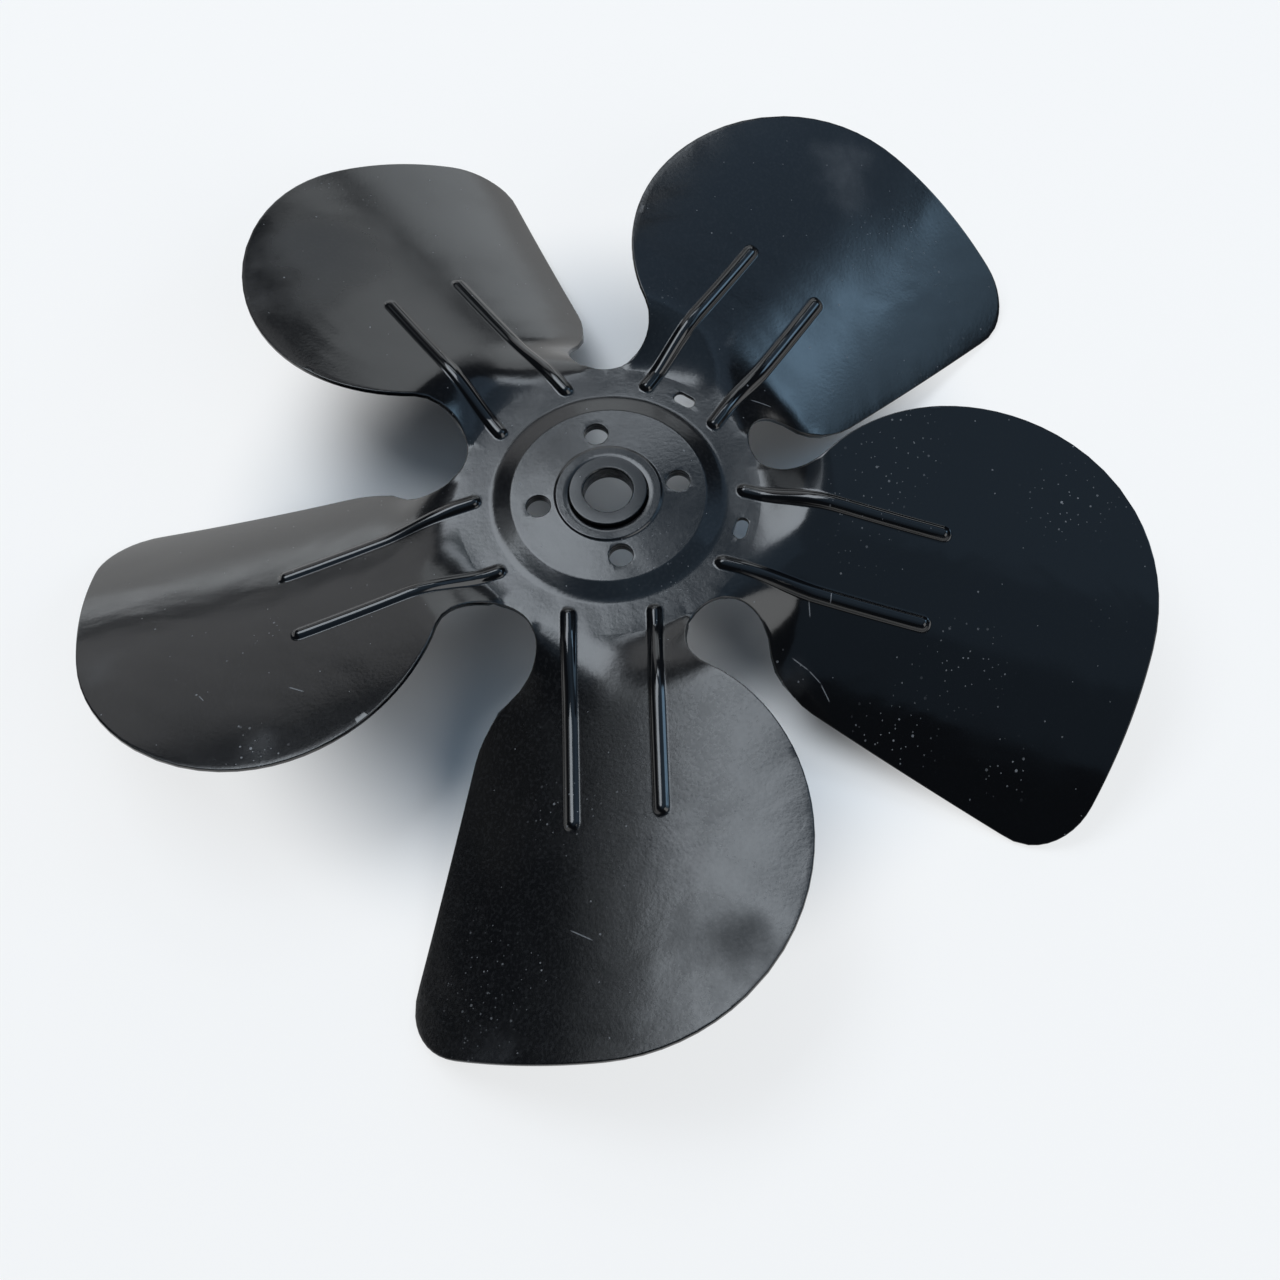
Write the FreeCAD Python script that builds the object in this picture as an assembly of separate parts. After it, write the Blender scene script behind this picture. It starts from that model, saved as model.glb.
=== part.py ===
import FreeCAD, Part
import math
import os

# Pressed sheet fan impeller with five blades and a backing hub plate, in millimetres.
# The bore axis is Z, the front faces +Z, and Z = 0 is the rear face of the hub plate.
# The four screw holes lie on the X and Y axes.

# Sheet and blades
sheet_t = 1.0
blade_count = 5
first_blade_deg = 45.0
tip_r = 100.0

# Hub plate with its collar
plate_t = 1.2
plate_hole_margin = 1.25
bore_r = 4.5
bore_lip_r = 0.4
collar_r = 7.1
collar_rise = 1.3
collar_chamfer = 0.15

# Screw holes through the sheet and the hub plate
screw_hole_count = 4
screw_hole_r = 2.25
screw_circle_r = 13.0

# Raised middle of the sheet
collar_clearance = 0.2
land_width = 2.5
land_rise = 0.25
land_slope_run = 0.3
plateau_hole_margin = 2.75
plateau_rise = 1.2
plateau_edge_round = 1.0
step_run = 3.45
step_foot_round = 4.4
rim_start_gap = 1.15

# Blade outline, seen along the axis
rim_width = 5.5
lobe_notch_r = 8.8
lobe_touch_deg = -1.7
corner_r = 10.5
straight_edge_deg = 15.0
straight_edge_offset = 13.0
knee_r = 16.0
straight_notch_r = 7.3

# Blade height over the flat rim, as slopes and curvatures at the middle of the blade
mid_s = 59.3
mid_height = -1.47
pitch_slope = 0.415
camber = -0.00515
camber_change = 0.000016
cone_slope = -0.063
twist = -0.00097
camber_fade = 0.000009
dish = 0.00148

# Where the flat rim starts to turn into the blade
root_lead = 1.2
root_run = 14.9
web_hold_deg = 27.0
web_full_deg = 32.0
web_delay = 7.0

# Stiffening beads, two on each blade, raised on the front
bead_offset = 7.65
bead_root_gap = 1.17
bead_end_s = 61.6
bead_arch_r = 1.3
bead_rise = 0.95
groove_r = 0.75
bead_span_count = 8

# Obround slots between the bead roots of two blades
slotted_blades = (0, 4)
slot_set_out = 2.5
slot_length = 4.6
slot_width = 2.7

# Net of control points over one blade
net_step_r = 2.0
net_step_deg = 2.0
net_margin_r = 4.0
net_margin_deg = 6.0

# Room for cutting tools beyond the solid
cut_room = 40.0

axis_z = FreeCAD.Vector(0, 0, 1)
origin = FreeCAD.Vector(0, 0, 0)
plateau_top = plate_t + sheet_t
rim_top = plateau_top - plateau_rise
half_pitch_deg = 180.0 / blade_count

# The plate and the plateau reach past the screw holes
plate_r = screw_circle_r + screw_hole_r + plate_hole_margin
plateau_r = screw_circle_r + screw_hole_r + plateau_hole_margin
land_r = collar_r + collar_clearance + land_width

# The flat rim begins outside the step's foot, and the beads, slots and notches lie on it
join_r = plateau_r + step_run + rim_start_gap
bead_start_s = math.sqrt((join_r + bead_root_gap) ** 2 - bead_offset ** 2)
slot_centre_r = join_r + slot_set_out
notch_bottom_r = join_r + rim_width
root_start_r = notch_bottom_r - root_lead


def polar(radius, degrees, z=0.0):
    turn = math.radians(degrees)
    return FreeCAD.Vector(radius * math.cos(turn), radius * math.sin(turn), z)


def smooth_step(value):
    value = min(max(value, 0.0), 1.0)
    return value * value * (3.0 - 2.0 * value)


# Blade surface: s runs out along the blade's centreline and l across it
def root_ramp(s, l):
    radius = math.hypot(s, l)
    off_centre = abs(math.degrees(math.atan2(l, s)))
    web = smooth_step((off_centre - web_hold_deg) / (web_full_deg - web_hold_deg))
    return smooth_step((radius - root_start_r - web_delay * web) / root_run)


def blade_height(s, l):
    out = s - mid_s
    across = mid_height + pitch_slope * l + camber * l ** 2 + camber_change * l ** 3
    along = out * (cone_slope + twist * l + camber_fade * l ** 2) + dish * out ** 2
    return rim_top + root_ramp(s, l) * (across + along)


def blade_point(s, l, offset):
    # Point at a distance over the sheet's front face, measured square to it
    small = 0.01
    slope_s = (blade_height(s + small, l) - blade_height(s - small, l)) / (2 * small)
    slope_l = (blade_height(s, l + small) - blade_height(s, l - small)) / (2 * small)
    normal = FreeCAD.Vector(-slope_s, -slope_l, 1)
    normal.normalize()
    return FreeCAD.Vector(s, l, blade_height(s, l)) + normal * offset


def clamped_knots(pole_count):
    knots = [float(index) for index in range(pole_count - 2)]
    mults = [4] + [1] * (pole_count - 4) + [4]
    return knots, mults


def blade_face(offset):
    inner = join_r - net_margin_r
    outer = tip_r + net_margin_r
    side = half_pitch_deg + net_margin_deg
    rows = math.ceil((outer - inner) / net_step_r) + 1
    columns = math.ceil(2 * side / net_step_deg) + 1
    poles = []
    for row in range(rows):
        radius = inner + (outer - inner) * row / (rows - 1)
        line = []
        for column in range(columns):
            foot = polar(radius, -side + 2 * side * column / (columns - 1))
            line.append(blade_point(foot.x, foot.y, offset))
        poles.append(line)
    row_knots, row_mults = clamped_knots(rows)
    column_knots, column_mults = clamped_knots(columns)
    surface = Part.BSplineSurface()
    surface.buildFromPolesMultsKnots(
        poles, row_mults, column_mults, row_knots, column_knots, False, False, 3, 3)
    return surface.toShape()


def closed_solid(faces):
    shell = Part.makeShell(faces)
    shell.sewShape()
    solid = Part.makeSolid(shell)
    if solid.Volume < 0:
        solid.reverse()
    return solid


def blade_slab(front_offset, rear_offset):
    # Solid between two faces that follow the blade surface
    front = blade_face(front_offset)
    rear = blade_face(rear_offset)
    sides = [Part.makeRuledSurface(a, b) for a, b in zip(front.Edges, rear.Edges)]
    return closed_solid([front, rear] + sides)


# Blade outline: circles that touch one another, with the straight edge between two of them
def arc(centre, start, end, toward):
    # Arc about a centre, bulging toward the given point
    radius = (start - centre).Length
    middle = toward - centre
    middle.normalize()
    return Part.Arc(start, centre + middle * radius, end).toShape()


def halfway(centre, start, end):
    # Point that an arc of less than half a turn bulges toward
    return start + end - centre


def touch(centre, other, radius):
    # Point of a circle in line with another centre
    way = other - centre
    way.normalize()
    return centre + way * radius


def lobe_centre(notch, tip):
    # Centre of the circle that touches the tip circle at the tip point and the notch circle
    radial = FreeCAD.Vector(tip)
    radial.normalize()
    reach = radial.dot(notch)
    spread = tip_r ** 2 - 2 * tip_r * reach + notch.Length ** 2 - lobe_notch_r ** 2
    lobe_r = spread / (2 * (tip_r - reach + lobe_notch_r))
    return radial * (tip_r - lobe_r)


def lobe_side_edges(bottom):
    notch = polar(notch_bottom_r + lobe_notch_r, half_pitch_deg)
    tip = polar(tip_r, lobe_touch_deg)
    lobe = lobe_centre(notch, tip)
    notch_end = touch(notch, lobe, lobe_notch_r)
    lobe_top = lobe + polar(1.0, 90.0)
    edges = [
        arc(notch, bottom, notch_end, notch + polar(1.0, half_pitch_deg - 90.0)),
        arc(lobe, notch_end, tip, lobe_top),
    ]
    return edges, tip


def straight_side_edges(bottom, tip):
    notch = polar(notch_bottom_r + straight_notch_r, -half_pitch_deg)
    way = polar(1.0, -straight_edge_deg)
    inward = FreeCAD.Vector(-way.y, way.x, 0)
    knee_line = inward * (knee_r - straight_edge_offset)
    drop = abs((notch - knee_line).dot(inward))
    knee_reach = math.sqrt((straight_notch_r + knee_r) ** 2 - drop ** 2)
    knee = knee_line + way * ((notch - knee_line).dot(way) + knee_reach)
    corner_line = corner_r - straight_edge_offset
    corner_reach = math.sqrt((tip_r - corner_r) ** 2 - corner_line ** 2)
    corner = inward * corner_line + way * corner_reach
    corner_start = touch(origin, corner, tip_r)
    corner_end = corner - inward * corner_r
    knee_start = knee - inward * knee_r
    knee_end = touch(knee, notch, knee_r)
    return [
        arc(origin, tip, corner_start, halfway(origin, tip, corner_start)),
        arc(corner, corner_start, corner_end, halfway(corner, corner_start, corner_end)),
        Part.makeLine(corner_end, knee_start),
        arc(knee, knee_start, knee_end, halfway(knee, knee_start, knee_end)),
        arc(notch, knee_end, bottom, notch + polar(1.0, 90.0 - half_pitch_deg)),
    ]


def blade_prism():
    lobe_bottom = polar(notch_bottom_r, half_pitch_deg)
    straight_bottom = polar(notch_bottom_r, -half_pitch_deg)
    lobe_join = polar(join_r, half_pitch_deg)
    straight_join = polar(join_r, -half_pitch_deg)
    lobe_edges, tip = lobe_side_edges(lobe_bottom)
    edges = [arc(origin, straight_join, lobe_join, polar(1.0, 0.0))]
    edges.append(Part.makeLine(lobe_join, lobe_bottom))
    edges.extend(lobe_edges)
    edges.extend(straight_side_edges(straight_bottom, tip))
    edges.append(Part.makeLine(straight_bottom, straight_join))
    face = Part.Face(Part.Wire(edges))
    face.translate(axis_z * -cut_room)
    return face.extrude(axis_z * (2 * cut_room))


# Beads
def bar_skin(curve, radius):
    # Round skin about a curve, from one rational circle at each of its control points
    across = [1, 1, 0, -1, -1, -1, 0, 1, 1]
    upward = [0, 1, 1, 1, 0, -1, -1, -1, 0]
    weights = [1.0 if x * y == 0 else math.sqrt(0.5) for x, y in zip(across, upward)]
    posts = curve.getPoles()
    rows = []
    for index, post in enumerate(posts):
        way = posts[min(index + 1, len(posts) - 1)] - posts[max(index - 1, 0)]
        way.normalize()
        side = FreeCAD.Vector(0, 1, 0)
        side -= way * side.dot(way)
        side.normalize()
        up = way.cross(side)
        rows.append([post + (side * x + up * y) * radius for x, y in zip(across, upward)])
    skin = Part.BSplineSurface()
    skin.buildFromPolesMultsKnots(
        rows, curve.getMultiplicities(), [3, 2, 2, 2, 3], curve.getKnots(),
        [0.0, 1.0, 2.0, 3.0, 4.0], False, False, curve.Degree, 2, [weights] * len(rows))
    return skin.toShape()


def round_bar(l, centre_offset, radius):
    # Bar with ball ends whose axis follows the blade surface
    half_width = math.sqrt(bead_arch_r ** 2 - (bead_arch_r - bead_rise) ** 2)
    start_s = bead_start_s + half_width
    end_s = bead_end_s - half_width
    points = []
    for index in range(bead_span_count + 1):
        s = start_s + (end_s - start_s) * index / bead_span_count
        points.append(blade_point(s, l, centre_offset))
    curve = Part.BSplineCurve()
    curve.interpolate(points)
    skin = bar_skin(curve, radius)
    rings = [edge for edge in skin.Edges if edge.isClosed()]
    bar = closed_solid([skin] + [Part.Face(Part.Wire(ring)) for ring in rings])
    return bar.fuse([Part.makeSphere(radius, points[0]), Part.makeSphere(radius, points[-1])])


def one_blade():
    blade = blade_slab(0.0, -sheet_t).common(blade_prism())
    over_sheet = blade_slab(2 * bead_rise, -sheet_t / 2)
    for l in (-bead_offset, bead_offset):
        bead = round_bar(l, bead_rise - bead_arch_r, bead_arch_r).common(over_sheet)
        groove = round_bar(l, bead_rise - sheet_t - groove_r, groove_r)
        blade = blade.fuse(bead).cut(groove)
    return blade


# Turned shapes
def rounded_line(points, radii):
    # Edges through the points, with each inner corner rounded by its own radius
    edges = []
    start = points[0]
    for before, corner, after, radius in zip(points, points[1:], points[2:], radii):
        way_in = corner - before
        way_out = after - corner
        way_in.normalize()
        way_out.normalize()
        turn = way_in.getAngle(way_out)
        reach = radius * math.tan(turn / 2)
        arc_start = corner - way_in * reach
        arc_end = corner + way_out * reach
        to_centre = way_out - way_in
        to_centre.normalize()
        centre = corner + to_centre * (radius / math.cos(turn / 2))
        edges.append(Part.makeLine(start, arc_start))
        edges.append(arc(centre, arc_start, arc_end, corner))
        start = arc_end
    edges.append(Part.makeLine(start, points[-1]))
    return edges


def profile_point(radius, z):
    return FreeCAD.Vector(radius, 0, z)


def turned(edges):
    face = Part.Face(Part.Wire(edges))
    return face.revolve(origin, axis_z, 360)


def sheet_middle():
    land_top = plateau_top + land_rise
    front = rounded_line(
        [
            profile_point(collar_r + collar_clearance, land_top),
            profile_point(land_r - land_slope_run / 2, land_top),
            profile_point(land_r + land_slope_run / 2, plateau_top),
            profile_point(plateau_r, plateau_top),
            profile_point(plateau_r + step_run, rim_top),
            profile_point(join_r, rim_top),
        ],
        [land_slope_run, land_slope_run, plateau_edge_round, step_foot_round])
    down = axis_z * -sheet_t
    rear = [edge.translated(down) for edge in front]
    inner = front[0].Vertexes[0].Point
    outer = front[-1].Vertexes[-1].Point
    inner_wall = Part.makeLine(inner, inner + down)
    outer_wall = Part.makeLine(outer, outer + down)
    return turned(front + [outer_wall] + rear[::-1] + [inner_wall])


def screw_holes():
    tools = []
    for index in range(screw_hole_count):
        centre = polar(screw_circle_r, 360.0 * index / screw_hole_count, -cut_room)
        tools.append(Part.makeCylinder(screw_hole_r, 2 * cut_room, centre))
    return tools


def slot_tool(blade_index):
    straight = slot_length - slot_width
    radius = slot_width / 2
    low = FreeCAD.Vector(slot_centre_r, -straight / 2, -cut_room)
    high = FreeCAD.Vector(slot_centre_r, straight / 2, -cut_room)
    middle = Part.makeBox(slot_width, straight, 2 * cut_room, low - FreeCAD.Vector(radius, 0, 0))
    ends = [Part.makeCylinder(radius, 2 * cut_room, end) for end in (low, high)]
    tool = middle.fuse(ends).removeSplitter()
    tool.rotate(origin, axis_z, first_blade_deg + 360.0 * blade_index / blade_count)
    return tool


def blade_sheet():
    blade = one_blade()
    blades = []
    for index in range(blade_count):
        copy = blade.copy()
        copy.rotate(origin, axis_z, first_blade_deg + 360.0 * index / blade_count)
        blades.append(copy)
    sheet = sheet_middle().multiFuse(blades).removeSplitter()
    tools = screw_holes() + [slot_tool(index) for index in slotted_blades]
    return sheet.cut(tools)


def hub_plate():
    collar_top = plateau_top + collar_rise
    edges = rounded_line(
        [
            profile_point(bore_r, 0),
            profile_point(bore_r, collar_top),
            profile_point(collar_r - collar_chamfer, collar_top),
        ],
        [bore_lip_r])
    corners = [
        profile_point(collar_r - collar_chamfer, collar_top),
        profile_point(collar_r, collar_top - collar_chamfer),
        profile_point(collar_r, plate_t),
        profile_point(plate_r, plate_t),
        profile_point(plate_r, 0),
        profile_point(bore_r, 0),
    ]
    edges.extend(Part.makeLine(a, b) for a, b in zip(corners, corners[1:]))
    return turned(edges).cut(screw_holes())


def save(name, shape):
    solids = shape.Solids
    if len(solids) != 1 or not shape.isValid():
        print(name, "has", len(solids), "solids, valid:", shape.isValid())
    solids[0].exportStep("parts/" + name + ".step")
    print(name, "volume", round(shape.Volume, 1), "faces", len(shape.Faces))


os.makedirs("parts", exist_ok=True)
save("hub_plate", hub_plate())
save("blade_sheet", blade_sheet())
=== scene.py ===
import bmesh
import bpy
import math
from mathutils import Matrix, Vector


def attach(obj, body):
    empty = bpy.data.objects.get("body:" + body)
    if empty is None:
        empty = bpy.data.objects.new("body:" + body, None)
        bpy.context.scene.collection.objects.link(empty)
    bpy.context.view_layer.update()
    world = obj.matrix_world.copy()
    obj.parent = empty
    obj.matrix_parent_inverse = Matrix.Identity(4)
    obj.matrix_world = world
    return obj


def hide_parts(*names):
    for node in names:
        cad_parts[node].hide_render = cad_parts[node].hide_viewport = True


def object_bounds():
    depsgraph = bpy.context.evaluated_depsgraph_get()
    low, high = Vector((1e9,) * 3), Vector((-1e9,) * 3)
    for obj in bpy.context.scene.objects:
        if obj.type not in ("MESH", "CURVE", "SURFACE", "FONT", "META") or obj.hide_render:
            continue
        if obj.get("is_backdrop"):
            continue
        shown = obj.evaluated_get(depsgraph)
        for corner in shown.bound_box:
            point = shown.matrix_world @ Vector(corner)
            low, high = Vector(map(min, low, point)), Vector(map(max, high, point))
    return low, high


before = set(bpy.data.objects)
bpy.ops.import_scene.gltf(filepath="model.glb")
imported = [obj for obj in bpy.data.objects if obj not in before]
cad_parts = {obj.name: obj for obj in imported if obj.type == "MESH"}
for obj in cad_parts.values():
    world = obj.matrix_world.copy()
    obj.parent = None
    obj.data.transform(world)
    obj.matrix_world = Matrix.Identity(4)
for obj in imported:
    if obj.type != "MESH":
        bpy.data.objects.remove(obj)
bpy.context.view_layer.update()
print("frame loaded")

# Sizes are in millimetres. A finished mesh is scaled to metres.
toMetres = 0.001
weldDistance = 0.001           # points nearer than this are merged

sheet = {
    "name": "bladeSheet",
    "thickness": 1.0,
    "blades": 5,
    "firstBlade": 45.0,        # direction of the first blade's centreline, in degrees
    "edgeRound": 0.2,
    "centreHole": 7.3,
    "tip": 99.9,               # just inside the CAD's 100, because the slanted cut edges reach out
    "notchBottom": 28.1,
    "lobeNotch": 8.8,
    "lobeTouch": -1.7,         # where the round side meets the tip circle, in degrees
    "corner": 10.5,
    "straightDeg": 15.0,
    "straightOffset": 13.0,
    "knee": 16.0,
    "straightNotch": 7.3,
    # heights of the pressed middle: radius, height and corner rounding
    "middle": [(7.3, 2.45, 0), (9.65, 2.45, 0.3), (9.95, 2.2, 0.3), (18.0, 2.2, 1.0),
               (21.45, 1.0, 4.4), (22.6, 1.0, 0)],
    "rimHeight": 1.0,
    # blade height over the rim, s out along the centreline and l across it
    "midS": 59.3,
    "midHeight": -1.47,
    "pitch": 0.415,
    "camber": -0.00515,
    "camberChange": 0.000016,
    "cone": -0.063,
    "twist": -0.00097,
    "camberFade": 0.000009,
    "dish": 0.00148,
    "rootStart": 26.9,
    "rootRun": 14.9,
    "webHold": 27.0,
    "webFull": 32.0,
    "webDelay": 7.0,
    # stiffening beads
    "beadOffset": 7.65,
    "beadStart": 23.75,        # centres of the bead's round ends
    "beadEnd": 60.35,
    "beadArch": 1.3,
    "beadRise": 0.95,
    "beadFoot": 0.45,
    "groove": 0.75,
    "grooveFlare": 0.35,       # the groove's mouth is wider by this
    # holes
    "screws": 4,
    "screwCircle": 13.0,
    "screwHole": 2.25,
    "slotCentre": 25.1,
    "slotLength": 4.6,
    "slotWidth": 2.7,
    "slotLip": 0.2,            # rolled-over lip inside the slot's mouth
    "slottedBlades": (0, 4),
    "holeLip": 0.12,
    "lipSteps": 5,
    "holeSteps": 48,
    # rows of the blank's mesh: the radius where each stretch ends, and its number of rows
    "middleRows": ((9.45, 2), (9.65, 2), (9.95, 4), (10.3, 2), (17.75, 5), (18.25, 5),
                   (20.7, 2), (22.2, 5), (23.2, 1), (25.2, 9)),
    "webRows": 2,
    "notchTurns": range(8, 89, 8),             # rows round the notch, in degrees
    "bladeRows": ((60.4, 11), (62.6, 9), (94.0, 13)),
    "tipRows": 8,
    # columns: on the straight and the round side, about each bead and between the beads
    "sideColumns": (11, 18),
    "beadColumns": (0, 0.45, 0.8, 1.0, 1.156, 1.3, 1.43, 1.556, 1.8),
    "middleColumns": (-3.9, -1.95, 0, 1.95, 3.9),
    # radii between which the columns run along the beads, and how slowly that starts and ends
    "alongFrom": 17.5,
    "alongStart": 5,
    "alongTo": 64,
    "alongEnd": 18,
    "sharpDeg": 50,
}

hub = {
    "name": "hubPlate",
    "thickness": 1.2,
    "radius": 16.5,
    "bore": 4.5,
    "boreLip": 0.4,
    "collar": 7.1,
    "collarTop": 3.5,
    "edgeRound": 0.15,
    "cornerTurn": 1.0,         # edges that turn more than this are rounded, in radians
    "lipSteps": 5,
    "edgeSteps": 2,
    "spinSteps": 128,
    "sharpDeg": 40,
}


def smoothStep(value):
    value = min(max(value, 0.0), 1.0)
    return value * value * (3 - 2 * value)


def polar(radius, degrees):
    turn = math.radians(degrees)
    return Vector((radius * math.cos(turn), radius * math.sin(turn)))


# The blank's outline: each side of a blade as its angle from the centreline at a radius
def circleAngle(radius, centre, size, side):
    far = centre.length
    cosine = (radius ** 2 + far ** 2 - size ** 2) / (2 * radius * far)
    turn = math.acos(min(max(cosine, -1.0), 1.0))
    return math.atan2(centre.y, centre.x) + side * turn


def planOutline(p):
    # Circles of both sides, taken in by the edge rounding, with the radii where they meet
    half = 180 / p["blades"]
    tipPoint = polar(p["tip"], p["lobeTouch"])
    radial = tipPoint.normalized()
    notch = polar(p["notchBottom"] + p["lobeNotch"], half)
    reach = radial.dot(notch)
    far = notch.length_squared - p["lobeNotch"] ** 2
    spread = p["tip"] ** 2 - 2 * p["tip"] * reach + far
    lobeSize = spread / (2 * (p["tip"] - reach + p["lobeNotch"]))
    lobe = radial * (p["tip"] - lobeSize)
    lobeMeet = notch + (lobe - notch).normalized() * p["lobeNotch"]
    otherNotch = polar(p["notchBottom"] + p["straightNotch"], -half)
    way = polar(1, -p["straightDeg"])
    inward = Vector((-way.y, way.x))
    kneeLine = inward * (p["knee"] - p["straightOffset"])
    drop = (otherNotch - kneeLine).dot(inward)
    kneeReach = math.sqrt((p["straightNotch"] + p["knee"]) ** 2 - drop ** 2)
    knee = kneeLine + way * ((otherNotch - kneeLine).dot(way) + kneeReach)
    cornerLine = p["corner"] - p["straightOffset"]
    cornerReach = math.sqrt((p["tip"] - p["corner"]) ** 2 - cornerLine ** 2)
    corner = inward * cornerLine + way * cornerReach
    kneeMeet = otherNotch + (knee - otherNotch).normalized() * p["straightNotch"]
    return {
        "notch": notch, "lobe": lobe, "lobeSize": lobeSize, "lobeMeet": lobeMeet.length,
        "otherNotch": otherNotch, "knee": knee, "corner": corner, "way": way,
        "kneeMeet": kneeMeet.length, "kneeEnd": (knee - inward * p["knee"]).length,
        "cornerEnd": (corner - inward * p["corner"]).length,
    }


def roundSide(radius, p, plan):
    inset = p["edgeRound"]
    if radius <= p["notchBottom"] - inset:
        return math.pi / p["blades"]
    if radius < plan["lobeMeet"]:
        return circleAngle(radius, plan["notch"], p["lobeNotch"] + inset, -1)
    return circleAngle(radius, plan["lobe"], plan["lobeSize"] - inset, 1)


def straightSide(radius, p, plan):
    inset = p["edgeRound"]
    if radius <= p["notchBottom"] - inset:
        return -math.pi / p["blades"]
    if radius < plan["kneeMeet"]:
        return circleAngle(radius, plan["otherNotch"], p["straightNotch"] + inset, 1)
    if radius < plan["kneeEnd"]:
        return circleAngle(radius, plan["knee"], p["knee"] - inset, -1)
    if radius < plan["cornerEnd"]:
        lean = math.asin((p["straightOffset"] - inset) / radius)
        return -math.radians(p["straightDeg"]) - lean
    return circleAngle(radius, plan["corner"], p["corner"] - inset, -1)


# The blank's grid: rows at a constant radius, columns along the beads
def spread(start, end, count):
    return [start + (end - start) * index / count for index in range(1, count + 1)]


def rowRadii(p):
    inset = p["edgeRound"]
    rows = [p["centreHole"] + inset]
    for end, count in p["middleRows"]:
        rows += spread(rows[-1], end, count)
    bottom = p["notchBottom"] - inset
    rows += spread(rows[-1], bottom, p["webRows"])
    notch = p["lobeNotch"] + inset
    rows += [bottom + notch * (1 - math.cos(math.radians(turn))) for turn in p["notchTurns"]]
    for end, count in p["bladeRows"]:
        rows += spread(rows[-1], end, count)
    last = p["tip"] - inset
    left = last - rows[-1]
    count = p["tipRows"]
    rows += [last - left * (1 - step / count) ** 2 for step in range(1, count + 1)]
    return rows


def beadColumns(p):
    steps = list(p["beadColumns"])
    across = sorted([-step for step in steps[1:]] + steps)
    columns = [step - p["beadOffset"] for step in across]
    columns += p["middleColumns"]
    return columns + [step + p["beadOffset"] for step in across]


def columnAngles(radius, p, plan):
    # Angles of one row's points: along the beads near them, evenly spread elsewhere
    low = straightSide(radius, p, plan)
    high = roundSide(radius, p, plan)
    lowCount, highCount = p["sideColumns"]
    middle = [math.asin(min(max(l / radius, -1.0), 1.0)) for l in beadColumns(p)]
    angles = [low + (middle[0] - low) * (index / lowCount) for index in range(lowCount)]
    angles += middle
    angles += [middle[-1] + (high - middle[-1]) * step / highCount
               for step in range(1, highCount + 1)]
    hold = smoothStep((radius - p["alongFrom"]) / p["alongStart"])
    hold *= 1 - smoothStep((radius - p["alongTo"]) / p["alongEnd"])
    last = len(angles) - 1
    even = [low + (high - low) * index / last for index in range(last + 1)]
    return [hold * near + (1 - hold) * far for near, far in zip(angles, even)]


def everything(bm):
    return bm.verts[:] + bm.edges[:] + bm.faces[:]


def growEdge(bm, edges, out, down):
    # Pull the open edges outwards in the plane and down, as one more strip
    away = {}
    for edge in edges:
        along = edge.verts[1].co - edge.verts[0].co
        side = Vector((along.y, -along.x, 0)).normalized()
        face = edge.link_faces[0].calc_center_median()
        if side.dot(edge.verts[0].co - face) < 0:
            side.negate()
        for vert in edge.verts:
            away[vert] = away.get(vert, Vector()) + side
    grown = bmesh.ops.extrude_edge_only(bm, edges=edges)["geom"]
    newEdges = [item for item in grown if isinstance(item, bmesh.types.BMEdge)]
    for vert in (item for item in grown if isinstance(item, bmesh.types.BMVert)):
        others = [edge.other_vert(vert) for edge in vert.link_edges]
        source = next(other for other in others if other in away)
        vert.co += away[source].normalized() * out + Vector((0, 0, -down))
    return newEdges


def cutBlank(p):
    # Flat blank with rounded edges, mid-plane at zero height
    plan = planOutline(p)
    rows = rowRadii(p)
    columns = len(beadColumns(p)) + sum(p["sideColumns"])
    bm = bmesh.new()
    bmesh.ops.create_grid(bm, x_segments=columns - 1, y_segments=len(rows) - 1, size=1)
    grid = [columnAngles(radius, p, plan) for radius in rows]
    for vert in bm.verts:
        row = round((vert.co.y + 1) / 2 * (len(rows) - 1))
        column = round((vert.co.x + 1) / 2 * (columns - 1))
        vert.co = polar(rows[row], math.degrees(grid[row][column])).to_3d()
    first = Matrix.Rotation(math.radians(p["firstBlade"]), 3, "Z")
    bmesh.ops.rotate(bm, verts=bm.verts, matrix=first)
    bmesh.ops.spin(bm, geom=everything(bm), axis=(0, 0, 1), cent=(0, 0, 0), use_duplicate=True,
                   steps=p["blades"] - 1, angle=math.tau * (p["blades"] - 1) / p["blades"])
    bmesh.ops.remove_doubles(bm, verts=bm.verts, dist=2 * weldDistance)
    bmesh.ops.recalc_face_normals(bm, faces=bm.faces)
    edges = [edge for edge in bm.edges if edge.is_boundary]
    size = p["edgeRound"]
    slant = math.radians(45)
    edges = growEdge(bm, edges, size * math.sin(slant), size * (1 - math.cos(slant)))
    edges = growEdge(bm, edges, size * (1 - math.sin(slant)), size * math.cos(slant))
    growEdge(bm, edges, 0, p["thickness"] / 2 - size)
    bmesh.ops.translate(bm, verts=bm.verts, vec=(0, 0, p["thickness"] / 2))
    bmesh.ops.mirror(bm, geom=everything(bm), matrix=Matrix.Identity(4), merge_dist=weldDistance,
                     axis="Z")
    bmesh.ops.recalc_face_normals(bm, faces=bm.faces)
    return bm


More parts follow.
